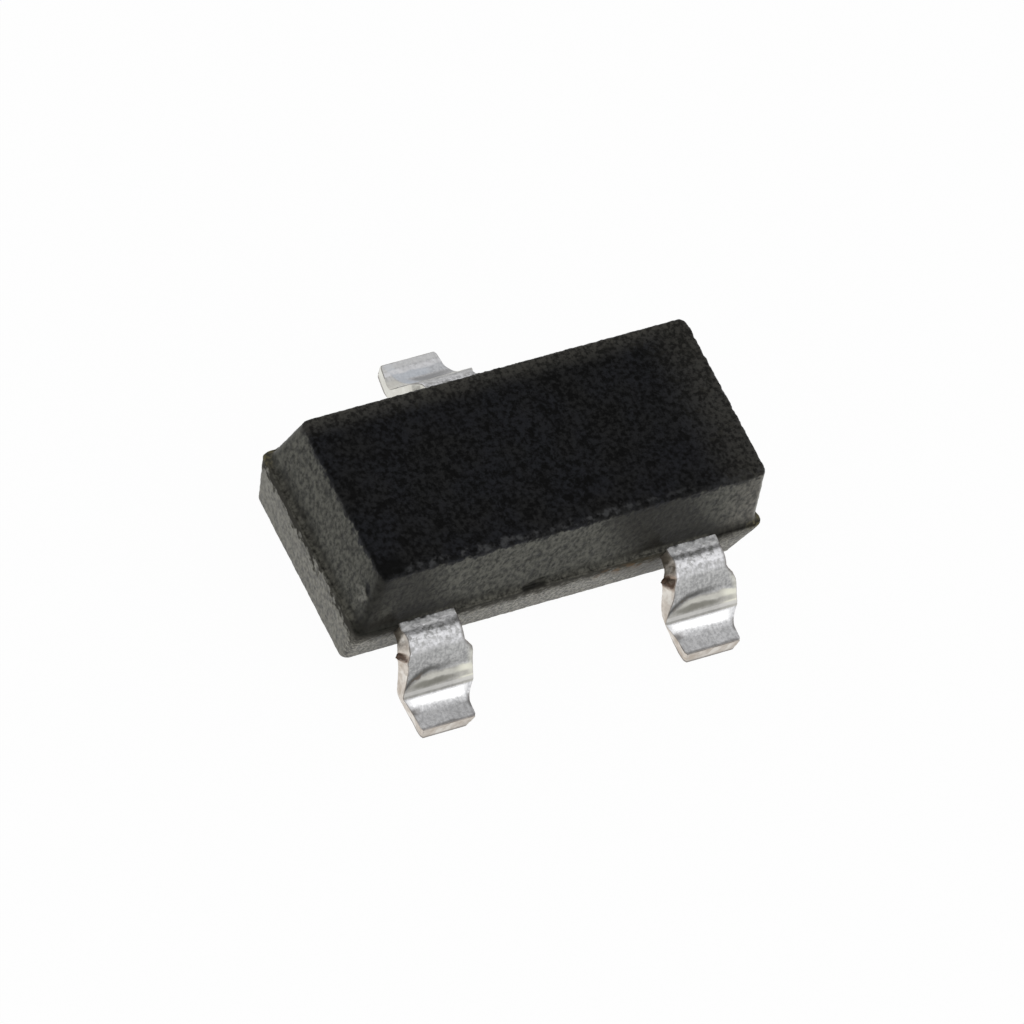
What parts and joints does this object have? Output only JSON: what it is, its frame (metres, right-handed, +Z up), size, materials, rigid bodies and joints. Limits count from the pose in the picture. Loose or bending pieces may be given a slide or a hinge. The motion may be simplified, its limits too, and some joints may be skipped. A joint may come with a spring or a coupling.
{
  "type": "voltage supervisor ic",
  "caption": "Voltage supervisor IC: black moulded small-outline body with tapered walls and gull-wing leads, two on one long side and one on the other.",
  "frame": {"origin": "centre of the footprint on the board plane, which is the plane of the lead feet's undersides", "axes": "+X along the body's length, +Y towards the side with the single lead, +Z up from the board; leads 1 and 2 are on the -Y side"},
  "size_m": [0.0028, 0.0024, 0.001],
  "materials": {
    "mould_compound": "fine spark-eroded mould texture, near black",
    "tin_plated_copper": "matte tin plate over copper alloy strip, bare metal at the cut edges",
    "silicon": "polished",
    "silver_filled_epoxy": "cured paste",
    "gold_wire": "drawn gold wire"
  },
  "bodies": {
    "root": {"moulded_body": "mould_compound", "lead_1": "tin_plated_copper", "lead_2": "tin_plated_copper", "lead_3": "tin_plated_copper", "silicon_die": "silicon", "die_attach": "silver_filled_epoxy", "bond_wire_1": "gold_wire", "bond_wire_2": "gold_wire", "bond_wire_3": "gold_wire"}
  },
  "joints": []
}
